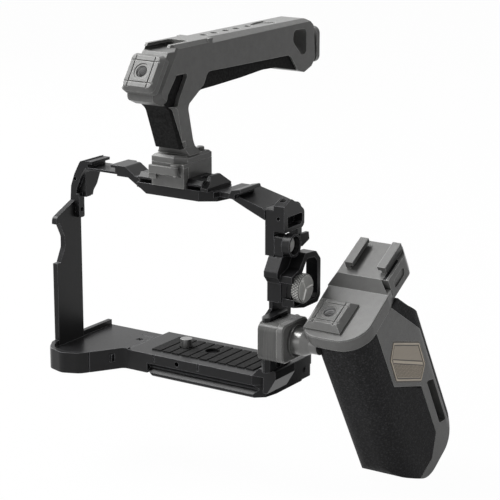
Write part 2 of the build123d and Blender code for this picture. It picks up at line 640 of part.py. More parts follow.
def top_clamp_body():
    body = jaw_split(top_clamp_solid(), False)
    low, high = top_deck - 10, foot_top + 10
    body -= block((-60, 40), (-60, 40), (clamp_top, high))
    y = lever_y - lever_thickness / 2
    body += plan_cut([(lever_pin_x - 2.2, -22), (lever_pin_x - 2.2, y - 1.6, 1.5),
                      (lever_pin_x + 2.2, y - 1.6, 1.5), (lever_pin_x + 2.2, -22)],
                     lever_top + 0.1, clamp_top)
    body -= rod((lever_pin_x, y, low), (lever_pin_x, y, high), lever_pin_radius)
    for x in handle_screw_x:
        body -= rod((x, top_rail_y, low), (x, top_rail_y, high), 1.6)
        body -= rod((x, top_rail_y, low), (x, top_rail_y, screw_seat), 2.9)
    return body - rod((release_x, release_y, spring_seat), (release_x, release_y, high),
                      release_radius + rail_fit)


def top_clamp_jaw():
    """Movable front jaw, pulled in by the lever, with the lever's recess."""
    jaw = jaw_split(top_clamp_solid(), True)
    return jaw - block((-60, lever_pin_x + 2.6), (-60, lever_y + 2.1), (top_deck + 6.0, foot_top))


# ================================================================ top handle
def handle_slab(corners, inset=0.0):
    """Slice of the handle, drawn in (y, z), its sides moved in by inset."""
    half = handle_width / 2 - inset
    return side_cut(corners, handle_x - half, handle_x + half)


def bevelled_slab(side_corners, inner_corners, depth):
    """Slab whose outline changes from the inner one to the side one over depth, on both sides."""
    half = handle_width / 2
    slab = handle_slab(inner_corners, depth)
    for sign in (-1, 1):
        faces = []
        for x, corners in ((half, side_corners), (half - depth, inner_corners)):
            plane = Plane((handle_x + sign * x, 0, 0), x_dir=(0, 1, 0), z_dir=(1, 0, 0))
            points = [corner[:2] for corner in corners]
            radii = [corner[2] if len(corner) > 2 else 0 for corner in corners]
            faces.append(plane * make_face(FilletPolyline(*points, radius=radii, close=True).edges()))
        slab += loft(faces, ruled=True)
    return slab


def head_front(z, back=0.0):
    """Y of the head's sloped front at a height, moved back by a distance along Y."""
    return head_front_y - (bar_top - z) / math.tan(math.radians(boss_tilt)) + back


def frame_outline(back, lift, step):
    """Outline of bar, head, leg and loop in (y, z); the values ease the edges that get bevels."""
    top, low, end = bar_top, bar_bottom, loop_back
    return [(head_front(top, back), top), (end - 7.5, top - 1.2, 3), (end - 1.5, top - 5.6, 3),
            (end, top - 24.6, 3), (end - 3.6, top - 28.4, 3), (end - 11.5, top - 31.0, 3),
            (end - 18.0, top - 29.3, 3), (end - 26.6, low - 2.0, 5), (-1.0, low, 4), (-4.6, low - 6.1, 4),
            (-19.5, low - 14.7, 4), (-11.0, foot_top + 6.0, 4), (-8.0, foot_top), (-18.0, foot_top),
            (-19.3 - step, foot_top + 7.5, 6), (-28.1 - step, top - 33.1, 3), (-33.0 - step, top - 30.6),
            (-39.5 + 0.3 * back, top - 30.0 + lift, 4), (head_front(top - 26.1, back), top - 26.1 + lift, 3)]


def frame_blank():
    """Frame before its cuts: bar, bevelled head and leg, rear loop."""
    return bevelled_slab(frame_outline(5.5, 2.6, 0.0), frame_outline(0.0, 0.0, leg_bevel), bevel_depth)


def side_notch():
    """Recess in (y, z) beside the leg's rubber, between the rim of the head and the leg."""
    return moved([(-29.0, -15.3, 1.0), (-18.4, -15.4, 1.5), (-26.9, -28.0, 4), (-28.1, -31.6),
                  (-39.3, -31.6), (-38.0, -28.0, 3), (-36.8, -24.4, 4)], 0, bar_top)


def rubber_outline(gap):
    """Outline in (y, z) of the rubber on the leg's front; its back is sunk into the metal."""
    sink = 3.5 - gap
    top, low = bar_top - gap, foot_top + 3.5 + gap
    return [(-29.0 + gap, top - 16.4, 1.0), (-20.6 + sink, top - 16.5, 1.5),
            (-29.1 + sink, bar_top - 29.1, 4), (-30.3 + sink, bar_top - 33.1, 5),
            (-21.5 + sink, foot_top + 6.5, 3), (-21.5 + sink, low), (-23.4, low, 1),
            (-32.0, bar_top - 33.6, 6), (-38.0, bar_top - 29.0, 3), (-36.8 + gap, bar_top - 24.4, 4)]


def leg_taper():
    """Cutters that narrow the lower leg towards the foot."""
    half = handle_width / 2
    neck = half * leg_share
    cutters = Part()
    for sign in (-1, 1):
        x = [handle_x + sign * v for v in (half + 5, half, neck, neck, half, half + 5)]
        z = (bar_top - 32.1, bar_top - 32.1, foot_top + 7.5, foot_top + 4.0, foot_top, foot_top)
        cutters += front_cut(list(zip(x, z)), -60, 0)
    return cutters


def handle_shoe_cut():
    """Cold shoe cut into the top of the head, open to the front."""
    low = bar_top - lip_thickness - shoe_height
    back = head_front_y + shoe_depth
    slot = plan_cut([(handle_x - shoe_slot / 2, -60), (handle_x + shoe_slot / 2, -60),
                     (handle_x + shoe_slot / 2, back, 2), (handle_x - shoe_slot / 2, back, 2)],
                    low, low + shoe_height)
    mouth = plan_cut([(handle_x - shoe_mouth / 2, -60), (handle_x + shoe_mouth / 2, -60),
                      (handle_x + shoe_mouth / 2, back, 3), (handle_x - shoe_mouth / 2, back, 3)],
                     low, bar_top + 1)
    return slot + mouth


def top_edges():
    """Cutters for the long bevels of the bar, shallow beside the shoe and deep behind it."""
    cutters = Part()
    for sign in (-1, 1):
        x = handle_x + sign * handle_width / 2
        for depth, drop, y0, y1 in ((2.0, 2.2, -60, 0), (bar_bevel, bar_bevel_drop, 3.5, 120)):
            cutters += front_cut([(x - sign * depth, bar_top), (x - sign * depth, bar_top + 2),
                                  (x + sign * 2, bar_top + 2), (x + sign * 2, bar_top - drop),
                                  (x, bar_top - drop)], y0, y1)
    return cutters


def handle_frame():
    """Machined frame: bar, head, leg, foot and rear loop with its window."""
    frame = frame_blank()
    frame -= handle_slab(side_notch(), -1) - handle_slab(side_notch(), bevel_depth + insert_gap)
    frame -= handle_slab(rubber_outline(0.0), bevel_depth)
    frame -= leg_taper()
    half = handle_width / 2
    foot = plan_cut([(handle_x - half, -23.5), (handle_x + half - 6.6, -23.5), (handle_x + half, -19.9),
                     (handle_x + half, 2.0), (handle_x - half, 2.0)], clamp_top + seam_gap / 2, foot_top)
    frame += chamfer(foot.faces().sort_by(Axis.Z)[-1].edges(), 1.2)
    window = moved([(-22.5, -6.0, 3), (-9.2, -6.6, 3), (-9.2, -20.8, 3), (-14.7, -20.8, 2),
                    (-23.8, -12.1, 4)], loop_back, bar_top)
    frame = frame - top_edges() - handle_slab(window, -1)
    slot = [(2.0, 57, 1), (4.6, 66, 1), (4.6, 74, 1), (-4.6, 74, 1), (-4.6, 66, 1), (-2.0, 57, 1)]
    frame -= plan_cut(moved(slot, handle_x, 0), bar_top - 1.6, bar_top + 1)
    frame -= handle_shoe_cut()
    for y in top_holes:
        frame -= rod((handle_x, y, bar_top - 6), (handle_x, y, bar_top + 1), 2.1)
    frame -= on_boss(Pos(0, 0, -6) * extrude(Circle(insert_radius + screw_fit), amount=8))
    frame -= rod((release_x, release_y, button_low), (release_x, release_y, foot_top + 3),
                 release_radius + rail_fit)
    for x in handle_screw_x:
        frame -= rod((x, top_rail_y, button_low), (x, top_rail_y, foot_top - 0.5),
                     rail_screw_radius + screw_fit)
    return frame + rear_cap()


def leg_grip():
    """Rubber on the front of the leg, between its bevels."""
    return handle_slab(rubber_outline(insert_gap), bevel_depth + insert_gap) - leg_taper()


def rear_cap():
    """Neck and rounded plate at the back of the loop, with a strap groove between."""
    neck = block((handle_x - 8, handle_x + 8), (loop_back - 2, loop_back + 2.6),
                 (bar_top - 22.6, bar_top - 10.1))
    plane = Plane((handle_x, loop_back + 1.8, bar_top - 17.2), x_dir=(1, 0, 0), z_dir=(0, 1, 0))
    plate = extrude(plane * RectangleRounded(handle_width, 20.5, 4), amount=4.2)
    return neck + chamfer(plate.faces().sort_by(Axis.Y)[-1].edges(), 1.0)


def bar_grip():
    """Rubber grip under the bar, waved for the fingers, rounded across."""
    half = handle_width / 2 - 1.2
    start, length = -1.6, loop_back - 25.4
    waves = [(start + share * length, drop, radius) for share, drop, radius in
             ((0.094, -8.7, 12), (0.417, -7.9, 20), (0.677, -6.7, 20), (0.851, -7.3, 10))]
    profile = [(start, 1), (-5.2, -6.3), (-20.5, -14.8, 0.5), (-18.6, -16.1, 0.5), (-6.5, -8.9, 6),
               *waves, (start + length + 12, -12.3), (start + length, 1)]
    grip = side_cut(moved(profile, 0, bar_bottom), handle_x - half, handle_x + half)
    low, high = bar_bottom - 20.3, bar_bottom + 4.7
    section = front_cut([(handle_x - half, high), (handle_x - half, low, 5), (handle_x + half, low, 5),
                         (handle_x + half, high)], -30, loop_back - 11)
    return grip & section - frame_blank()


def on_boss(shape):
    """Place a shape drawn on the XY plane on the head's sloped face."""
    return Pos(handle_x, head_front(boss_z), boss_z) * Rot(boss_tilt, 0, 0) * shape


def scribed(boss, face):
    """A boss on the XY plane with four shallow lines scribed round its thread."""
    for v in (-scribe_offset, scribe_offset):
        boss -= block((v - 0.35, v + 0.35), (-12, 12), (face - 0.5, face + 1))
        boss -= block((-12, 12), (v - 0.35, v + 0.35), (face - 0.5, face + 1))
    return boss


def front_boss():
    """Square mounting boss with bevelled sides and scribed lines, on the sloped head."""
    size = boss_size
    lower = extrude(Pos(0, 0, 0.02) * RectangleRounded(size, size, 3), amount=3.2)
    upper = loft([Plane((0, 0, 3.22)) * RectangleRounded(size, size, 3),
                  Plane((0, 0, 5.4)) * RectangleRounded(size - 4, size - 4, 1.5)])
    boss = scribed(lower + upper, 5.4)
    return on_boss(boss - Pos(0, 0, -1) * extrude(Circle(insert_radius + screw_fit), amount=10))


def boss_thread():
    """Steel thread insert in the front boss."""
    tube = Circle(insert_radius) - Circle(socket_radius)
    return on_boss(Pos(0, 0, -5.9) * extrude(tube, amount=11.0))


def clamp_lever():
    """Quick-release lever across the clamp's front, on a vertical pin."""
    front = lever_y - lever_thickness
    left = handle_x - 10.6
    right = lever_pin_x + 1.8
    bar = plan_cut([(right, lever_y, 0.6), (right, front, 1.2), (left, front, 0.8), (left, lever_y)],
                   lever_low, lever_top)
    tab = block((left, left + 4.6), (front + 0.4, lever_y), (lever_low - 2.8, lever_low))
    y = lever_y - lever_thickness / 2
    return bar + tab - rod((lever_pin_x, y, lever_low - 5), (lever_pin_x, y, foot_top),
                           lever_pin_radius + screw_fit)


def lever_pin():
    """Headed pin of the lever, held in the clamp's lug."""
    y = lever_y - lever_thickness / 2
    low = lever_low - 0.1
    head = rod((lever_pin_x, y, low - 0.6), (lever_pin_x, y, low), 1.05)
    return head + rod((lever_pin_x, y, low), (lever_pin_x, y, clamp_top), lever_pin_radius)


def handle_screws():
    """Two screws from inside the clamp up into the handle's foot."""
    screw = Rot(180, 0, 0) * cap_screw(1.5, 2.75, 2.4, 8.0, 1.25)
    return Compound(children=[Pos(x, top_rail_y, screw_seat) * screw for x in handle_screw_x])


def release_button():
    """Spring-loaded release at the back of the clamp's top."""
    cap = rod((release_x, release_y, button_low), (release_x, release_y, foot_top + 2.1), release_radius)
    return chamfer(cap.edges().sort_by(Axis.Z)[-1], 0.5)


def release_spring():
    """Sleeve in the place of the coil spring under the release button."""
    start, end = (release_x, release_y, spring_seat), (release_x, release_y, button_low)
    return rod(start, end, 1.7) - rod(start, end, 1.2)


# ================================================================ side handle
def on_neck(shape):
    """Place a shape drawn about the neck axis at the handle's rest angle."""
    return Pos(0, neck_y, neck_z) * Rot(handle_tilt, 0, 0) * shape


def side_clamp_solid():
    outline = moved(turned(clamp_section(rail_fit)), side_rail_x, side_rail_y)
    half = clamp_length / 2
    return plan_cut(outline, neck_z - half, neck_z + half)


def side_clamp_body():
    """Front hook and back of the side clamp, up to the split of its rear jaw."""
    body = side_clamp_solid() & side_clamp_envelope(0.0, 40.0, clamp_back)
    body -= block((40, 70), (jaw_face, 30), (0, 60))
    for z in jaw_screw_z:
        body -= rod((jaw_screw_x, jaw_face - 12, z), (jaw_screw_x, 10, z), 1.5 + screw_fit)
    return body - rod((50, neck_y, neck_z), (60, neck_y, neck_z), 4.1)


def side_clamp_jaw():
    """Rear jaw, drawn in by two screws."""
    jaw = side_clamp_solid() & side_clamp_envelope(0.0, 40.0, clamp_back)
    jaw &= block((40, 70), (jaw_face + 0.15, 30), (0, 60))
    for z in jaw_screw_z:
        jaw -= rod((jaw_screw_x, -20, z), (jaw_screw_x, 10, z), 1.6)
        jaw -= rod((jaw_screw_x, side_rail_y + rail_width / 2 + clamp_jaw - 2.2, z),
                   (jaw_screw_x, 10, z), 2.9)
    return jaw


def jaw_screws():
    """Two screws that draw the rear jaw in."""
    screw = Rot(-90, 0, 0) * cap_screw(1.5, 2.75, 2.0, 12.5, 1.25)
    seat = side_rail_y + rail_width / 2 + clamp_jaw - 2.2
    return Compound(children=[Pos(jaw_screw_x, seat, z) * screw for z in jaw_screw_z])


def side_clamp_envelope(inset, x0, x1):
    """Block with rounded ends that bounds the side clamp, in (y, z) from x0 to x1."""
    half = clamp_length / 2 - inset
    across = rail_width / 2 + clamp_jaw - inset
    return side_cut([(side_rail_y - across, neck_z - half, 4), (side_rail_y + across, neck_z - half, 4),
                     (side_rail_y + across, neck_z + half, 4), (side_rail_y - across, neck_z + half, 4)],
                    x0, x1)


def side_clamp_plate():
    """Rounded outer plate that carries the neck."""
    plate = side_clamp_envelope(0.0, clamp_back + 0.1, flange_x)
    plate = chamfer(plate.edges().group_by(Axis.X)[-1], 0.7)
    return plate - rod((58, neck_y, neck_z), (64, neck_y, neck_z), 4.1)


def neck_solid(grow):
    """Flange, barrel and taper of the rotating neck, turned on one axis along X."""
    profile = [(neck_start, 0), (neck_start, 4.0 + grow), (flange_x + 0.1, 4.0 + grow),
               (flange_x + 0.1, flange_radius), (flange_x + 1.5, flange_radius),
               (flange_x + 1.5, neck_radius + grow), (69.0, neck_radius + grow),
               (70.0, neck_radius - 0.4 + grow), (73.5, 5.2 + grow), (78.0 + grow, 5.2 + grow),
               (78.0 + grow, 0)]
    return revolve(make_face(Polyline(*profile, close=True).edges()), Axis.X, 360)


def side_neck():
    return Pos(0, neck_y, neck_z) * neck_solid(0.0)


def side_head():
    """Head plate: low floor with the boss, ramp, and raised cold shoe at the back."""
    low = plan_cut([(head_left + 1.9, -4.4, 9), (head_right, -4.4, 15), (head_right - 1.2, 30),
                    (head_right - 2.4, 36), (head_left, 36)], head_under, head_floor)
    low = chamfer(low.edges().group_by(Axis.Z)[-1].filter_by(GeomType.CIRCLE), 0.6)
    ramp = loft([Plane((0, 32, 0), x_dir=(1, 0, 0), z_dir=(0, 1, 0)) *
                 make_face(Polyline((head_left, -head_under), (103.5, -head_under),
                                    (103.5, -head_floor), (head_left, -head_floor),
                                    close=True).edges()),
                 Plane((0, 36.8, 0), x_dir=(1, 0, 0), z_dir=(0, 1, 0)) *
                 make_face(Polyline((72.7, -head_under), (98.7, -head_under),
                                    (98.7, -shoe_floor), (72.7, -shoe_floor),
                                    close=True).edges())])
    rear = plan_cut([(72.7, 36.8), (103.0, 36.8), (103.0, 56, 4), (98.7, 62.5, 2), (72.7, 62.5, 2)],
                    head_under, shoe_floor)
    shoe = Pos(88.2, 41.0, shoe_floor) * cold_shoe(side_shoe_mouth, side_lip)
    head = low + ramp + rear + shoe + head_boss() - neck_solid(screw_fit)
    head -= rod((side_boss_x, side_boss_u, head_under - 1), (side_boss_x, side_boss_u, head_floor + 8),
                insert_radius + screw_fit)
    head -= button_pocket(0.1)
    head -= rod((key_x, 37.0, key_w), (key_x, 52.5, key_w), 1.6)
    return head


def head_boss():
    """Square mounting boss of the head, with bevelled sides and scribed lines."""
    size = boss_size + 0.6
    lower = extrude(Pos(0, 0, -1) * Rectangle(size, size), amount=2.2)
    upper = loft([Plane((0, 0, 1.2)) * Rectangle(size, size),
                  Plane((0, 0, 4.0)) * Rectangle(size - 5.6, size - 5.6)])
    return Pos(side_boss_x, side_boss_u, head_floor) * scribed(lower + upper, 4.0)


def side_boss_thread():
    """Steel thread insert in the side handle's boss."""
    start = (side_boss_x, side_boss_u, head_under + 0.4)
    end = (side_boss_x, side_boss_u, head_floor + 3.8)
    return rod(start, end, insert_radius) - rod(start, end, socket_radius)


def button_pocket(gap):
    """Pill shaped bore for the lock button, along X."""
    pill = Plane((button_x, button_u, button_w), x_dir=(0, 1, 0), z_dir=(1, 0, 0)) * \
        RectangleRounded(11.6 + 2 * gap, 5.0 + 2 * gap, 2.4)
    return extrude(pill, amount=10.0)


def lock_button():
    """Pill shaped button that frees the neck, pressed towards the cage."""
    pill = button_pocket(0.0) & block((0, button_x + 6.2), (0, 90), (-10, 30))
    pill -= block((0, button_x + 2.6), (0, 90), (-10, 30))
    return pill


def lock_spring():
    """Sleeve in the place of the coil spring behind the lock button."""
    start = (button_x, button_u, button_w)
    end = (button_x + 2.6, button_u, button_w)
    return rod(start, end, 1.9) - rod(start, end, 1.3)


def side_key():
    """Hex key kept beside the shoe."""
    flat = extrude(Plane((key_x, 37.2, key_w), x_dir=(1, 0, 0), z_dir=(0, 1, 0)) *
                   RegularPolygon(1.5, 6), amount=15.0)
    return flat


def grip_section(inset):
    """Rounded section of the grip in (x, distance from the neck)."""
    return [(grip_left + inset, grip_front + inset, 13), (grip_right - inset, grip_front + inset, 13),
            (grip_right - inset, grip_back - inset, 13), (grip_left + inset, grip_back - inset, 13)]


def grip_side(inset):
    """Side view of the grip in (distance from the neck, height): round at both ends."""
    return [(grip_front + inset, head_under - 0.2), (38, head_under - 0.2), (44, -8 , 14),
            (grip_back - inset, -30, 25), (grip_back - 1.1 - inset, grip_bottom + 21 + inset, 10),
            (grip_back - 16 - inset, grip_bottom + 1 + inset, 12),
            (grip_front + 20 + inset, grip_bottom + inset, 18),
            (grip_front + inset, grip_bottom + 22 + inset, 18)]


def grip_core(inset):
    section = plan_cut(grip_section(inset), grip_bottom, head_under - 0.2)
    profile = side_cut(grip_side(inset), grip_left, grip_right)
    return section & profile


def spine_outline(gap):
    """Metal spine on the outer face of the grip, in (distance from the neck, height)."""
    return [(12.8 - gap, 10), (12.8 - gap, -37.5 - gap), (34.6 - gap, -59.3 - gap),
            (34.6 - gap, panel_bottom + 10), (24, panel_bottom - gap), (-20, panel_bottom - gap),
            (-20, grip_bottom - 5), (80, grip_bottom - 5), (80, panel_bottom + 6),
            (48.6 + gap, panel_bottom + 6), (48.6 + gap, -30 + gap), (30, 4 + gap), (30, 10)]


def spine_frame():
    """Machined core of the grip with the proud spine that frames the two panels."""
    core = grip_core(panel_thickness)
    spine = grip_core(0) & side_cut(spine_outline(0), grip_right - 13, grip_right + 1)
    bottom = grip_core(0) & block((60, 110), (-20, 80), (grip_bottom - 1, panel_bottom))
    frame = core + spine + bottom
    frame -= side_cut(badge_outline(0.15), grip_right - badge_thickness, grip_right + 5)
    slot = side_cut([(40.0, -61, 1), (46.5, -66, 1), (46.5, -98, 1), (40.0, -94, 1)],
                    grip_right - 9, grip_right + 5)
    frame -= slot
    return frame - neck_solid(screw_fit)


def panel(front):
    """Leather panel let into the grip, in front of or behind the spine."""
    skin = grip_core(0) - grip_core(panel_thickness - insert_gap)
    skin -= block((60, 110), (-20, 80), (-200, panel_bottom + 0.2))
    skin -= side_cut(spine_outline(0.2), grip_right - 13.2, grip_right + 1)
    inner_seam = block((60, grip_right - 13.1), (30, 30.4), (-200, 20))
    skin -= inner_seam
    skin -= neck_solid(0.4)
    region = block((60, 110), (-20, 30.2), (-200, 20)) if front else block((60, 110), (30.2, 80), (-200, 20))
    over = side_cut([(12.0, 10), (12.0, -37.8), (34.2, -60.0), (34.2, -200), (-30, -200), (-30, 10)],
                    grip_right - 13.1, grip_right + 1)
    if front:
        return (skin & region) + (skin & over)
    return (skin & region - over).solids().sort_by(SortBy.VOLUME)[-1]


def badge_outline(gap):
    """Hexagonal badge in (distance from the neck, height): a band across the grip at 45 degrees."""
    return [(23.2, -14.1 + gap), (44.4 + gap, -35.2), (43.9 + gap, -51.3), (35.6, -57.2 - gap),
            (15.2 - gap, -36.4), (15.7 - gap, -21.2)]


def badge():
    plate = side_cut(badge_outline(0), grip_right - badge_thickness, grip_right + 0.3)
    return plate


PARTS = {}


def add(name, shape):
    PARTS[name] = shape


def export_all():
    for name, shape in PARTS.items():
        export_step(shape, "parts/" + name + ".step")


add("base_plate", base_plate())
add("base_pad", base_pad())
add("camera_screw", camera_screw())
add("base_key", base_key())
add("left_side_frame", left_side_frame())
add("top_frame", top_frame())
add("top_rail", top_rail())
add("rail_screws", rail_screws())
add("right_side_frame", right_side_frame())
add("side_rail", side_rail())
add("frame_screws", frame_screws())
add("cable_body", cable_body())
add("cable_jaw", cable_jaw())
add("thumbscrew", thumbscrew())
add("cable_fixings", cable_fixings())
add("lug_screw", lug_screw())
add("lock_lever", lock_lever())
add("top_clamp_body", top_clamp_body())
add("top_clamp_jaw", top_clamp_jaw())
add("clamp_lever", clamp_lever())
add("lever_pin", lever_pin())
add("handle_screws", handle_screws())
add("release_button", release_button())
add("release_spring", release_spring())
add("handle_frame", handle_frame())
add("leg_grip", leg_grip())
add("bar_grip", bar_grip())
add("front_boss", front_boss())
add("boss_thread", boss_thread())
add("side_clamp_body", side_clamp_body())
add("side_clamp_jaw", side_clamp_jaw())
add("jaw_screws", jaw_screws())
add("side_clamp_plate", side_clamp_plate())
add("side_neck", side_neck())
add("side_head", on_neck(side_head()))
add("side_boss_thread", on_neck(side_boss_thread()))
add("lock_button", on_neck(lock_button()))
add("lock_spring", on_neck(lock_spring()))
add("side_key", on_neck(side_key()))
add("spine_frame", on_neck(spine_frame()))
add("front_panel", on_neck(panel(True)))
add("rear_panel", on_neck(panel(False)))
add("badge", on_neck(badge()))
export_all()
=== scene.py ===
"""Camera cage kit: finishes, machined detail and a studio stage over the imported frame."""
import math

import bpy
import numpy as np
from mathutils import Matrix, Vector


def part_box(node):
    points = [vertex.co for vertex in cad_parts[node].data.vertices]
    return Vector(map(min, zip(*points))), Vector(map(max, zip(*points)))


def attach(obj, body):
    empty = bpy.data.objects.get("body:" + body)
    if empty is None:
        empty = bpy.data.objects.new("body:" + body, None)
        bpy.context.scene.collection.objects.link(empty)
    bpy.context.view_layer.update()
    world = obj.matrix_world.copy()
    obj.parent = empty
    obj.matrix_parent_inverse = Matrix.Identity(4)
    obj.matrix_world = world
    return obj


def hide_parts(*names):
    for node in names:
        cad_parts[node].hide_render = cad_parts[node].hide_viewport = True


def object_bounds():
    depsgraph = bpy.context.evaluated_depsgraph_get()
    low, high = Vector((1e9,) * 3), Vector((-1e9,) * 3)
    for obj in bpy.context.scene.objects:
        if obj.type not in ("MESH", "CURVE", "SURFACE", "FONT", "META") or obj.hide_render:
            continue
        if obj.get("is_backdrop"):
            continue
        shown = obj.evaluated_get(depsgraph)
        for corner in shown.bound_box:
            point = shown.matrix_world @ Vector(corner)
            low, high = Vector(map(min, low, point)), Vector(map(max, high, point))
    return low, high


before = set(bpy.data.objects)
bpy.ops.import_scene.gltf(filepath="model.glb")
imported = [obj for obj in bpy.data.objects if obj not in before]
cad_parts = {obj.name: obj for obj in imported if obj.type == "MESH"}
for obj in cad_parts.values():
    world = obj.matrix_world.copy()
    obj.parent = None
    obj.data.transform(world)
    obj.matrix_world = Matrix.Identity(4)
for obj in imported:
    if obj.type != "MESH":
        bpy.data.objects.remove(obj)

bl_info = {
    "name": "Camera Cage Kit",
    "version": (1, 0, 0),
    "blender": (4, 5, 0),
    "location": "View3D > Sidebar > Cage Kit",
    "description": "Dresses the camera cage with its finishes and builds its studio stage",
    "category": "Object",
}

MM = 0.001

# Places and leans of the solids that the added detail follows.
NECK_PIVOT = Vector((66.0, -16.5, 34.2)) * MM
HANDLE_TILT = math.radians(30.0)
BOSS_LEAN = math.radians(56.0)
TRIPOD_MIDDLE = (0, 0, 4.5 * MM)

# Threads stand just inside their bores and are as deep as a share of their pitch.
THREAD_RADIUS = 3.165 * MM
THREAD_DEPTH = 0.54
BOSS_THREAD_LENGTH = 10.6 * MM
SIDE_THREAD_LENGTH = 10.4 * MM
TRIPOD_THREAD_LENGTH = 8.8 * MM

# Badge corners in the side handle's axes, in mm: along the head from the neck, and up from it.
BADGE_CORNERS = ((23.2, -14.1), (44.4, -35.2), (43.9, -51.3), (35.6, -57.2), (15.2, -36.4),
                 (15.7, -21.2))
ENGRAVING_DEPTH = 0.3 * MM

# Stage: floor, surroundings, lamps and camera, in metres and watts.
FLOOR_HALF_WIDTH = 4.0
FLOOR_GAP = 1.0 * MM
FLOOR_GREY = (0.55, 0.55, 0.55, 1)
FLOOR_WHITE_SHARE = 0.98
SOFT_WORLD_STRENGTH = 0.2
WHITE = (1, 1, 1, 1)
LAMP_TARGET = Vector((0.01, 0.0, 0.08))
LAMPS = (
    # name, place, width, power
    ("overhead_softbox", (-0.75, -0.25, 1.2), 1.0, 38.0),
    ("left_rim_light", (-1.25, 0.4, 0.25), 0.7, 12.0),
    ("front_fill", (-0.5, -1.5, 0.25), 0.8, 2.5),
)
CAMERA_PLACE = (0.5498, -0.8026, 0.3272)
CAMERA_AHEAD = (-0.5297, 0.8085, -0.2563)
CAMERA_UP = (-0.1405, 0.2144, 0.9666)
SENSOR_WIDTH_MM = 36.0
FOCAL_LENGTH_MM = 136.0
VIEW_END = 50.0


def linear(colour):
    """sRGB hex colour as linear RGBA."""
    values = [int(colour[i:i + 2], 16) / 255 for i in (1, 3, 5)]
    turned = [v / 12.92 if v <= 0.04045 else ((v + 0.055) / 1.055) ** 2.4 for v in values]
    return (*turned, 1.0)


def shade(colour, factor):
    """Linear colour made darker or lighter."""
    return (*(min(c * factor, 1.0) for c in colour[:3]), 1.0)


# Colours that the panel doesn't offer.
# Painted highlight colours for the edges of the cage and of the handles.
CAGE_EDGE_HIGHLIGHT = linear("#77777a")
HANDLE_EDGE_HIGHLIGHT = linear("#b8b8b6")
BRUSHED_BLOCK = linear("#585857")
BLACK_OXIDE = linear("#242425")
INSERT_STEEL = linear("#5c5c5b")
SCREW_STEEL = linear("#cfcfcd")
THREAD_STEEL = linear("#8a8a8a")


# ---------------------------------------------------------------- settings
class CageFinishes(bpy.types.PropertyGroup):
    cage: bpy.props.FloatVectorProperty(
        name="Cage", description="Black anodised aluminium of the cage", subtype="COLOR", size=4,
        min=0, max=1, default=linear("#1b1b1c"))
    handle: bpy.props.FloatVectorProperty(
        name="Handles", description="Gunmetal anodised aluminium of both handles", subtype="COLOR",
        size=4, min=0, max=1, default=linear("#6b6b6a"))
    rubber: bpy.props.FloatVectorProperty(
        name="Rubber", description="Moulded rubber of the grips", subtype="COLOR", size=4,
        min=0, max=1, default=linear("#191919"))
    leather: bpy.props.FloatVectorProperty(
        name="Leather", description="Leather panels of the side handle", subtype="COLOR", size=4,
        min=0, max=1, default=linear("#252526"))
    badge: bpy.props.FloatVectorProperty(
        name="Badge", description="Champagne anodised plate", subtype="COLOR", size=4,
        min=0, max=1, default=linear("#b3a898"))
    steel: bpy.props.FloatVectorProperty(
        name="Steel", description="Stainless thread inserts, pins and screws", subtype="COLOR", size=4,
        min=0, max=1, default=linear("#8f8f8e"))
    bright: bpy.props.FloatVectorProperty(
        name="Thumbscrew", description="Bright nickelled steel of the thumbscrew", subtype="COLOR",
        size=4, min=0, max=1, default=linear("#d6d6d3"))


class CageDetails(bpy.types.PropertyGroup):
    """Sizes of the fine detail."""

    edge_radius: bpy.props.FloatProperty(
        name="Edge radius", description="Rounding that a tumbled edge shows", unit="LENGTH",
        default=0.35 * MM, min=0, max=2 * MM)
    knurl_pitch: bpy.props.FloatProperty(
        name="Knurl pitch", description="Spacing of the thumbscrew's diamonds", unit="LENGTH",
        default=1.5 * MM, min=0.3 * MM, max=3 * MM)
    thread_pitch: bpy.props.FloatProperty(
        name="Thread pitch", description="Pitch of the quarter inch threads", unit="LENGTH",
        default=1.27 * MM, min=0.5 * MM, max=3 * MM)
    badge_pitch: bpy.props.FloatProperty(
        name="Badge pitch", description="Spacing of the badge's engraved diamonds", unit="LENGTH",
        default=1.5 * MM, min=0.3 * MM, max=3 * MM)


# ---------------------------------------------------------------- mesh helpers
def grid_mesh(name, points, closed=False):
    """Mesh of quads over a grid of points with shape (rows, columns, 3); closed joins its sides."""
    rows, columns = points.shape[:2]
    index = np.arange(rows * columns).reshape(rows, columns)
    if closed:
        index = np.hstack([index, index[:, :1]])
    quads = np.stack([index[:-1, :-1], index[1:, :-1], index[1:, 1:], index[:-1, 1:]], axis=-1)
    mesh = bpy.data.meshes.new(name)
    mesh.from_pydata(points.reshape(-1, 3), [], quads.reshape(-1, 4).tolist())
    mesh.update()
    return mesh


def new_piece(name, mesh, material, body):
    """Smooth object in the row frame that rides on a body."""
    piece = bpy.data.objects.new(name, mesh)
    bpy.context.scene.collection.objects.link(piece)
    mesh.materials.append(material)
    mesh.shade_smooth()
    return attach(piece, body)


def box_middle(node):
    """Middle of a node's box."""
    low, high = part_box(node)
    return (Vector(low) + Vector(high)) / 2


def neck_to_row(x, u, w):
    """Row-frame points from the side handle's own axes: x, along the head u, up from the neck w."""
    cosine = math.cos(HANDLE_TILT)
    sine = math.sin(HANDLE_TILT)
    y = NECK_PIVOT.y + u * cosine - w * sine
    z = NECK_PIVOT.z + u * sine + w * cosine
    return np.stack(np.broadcast_arrays(x, y, z), axis=-1)


def zigzag(value):
    """Triangle wave of period 1: 0 at whole numbers, 1 half way between them."""
    return 1 - np.abs(2 * (value % 1.0) - 1)


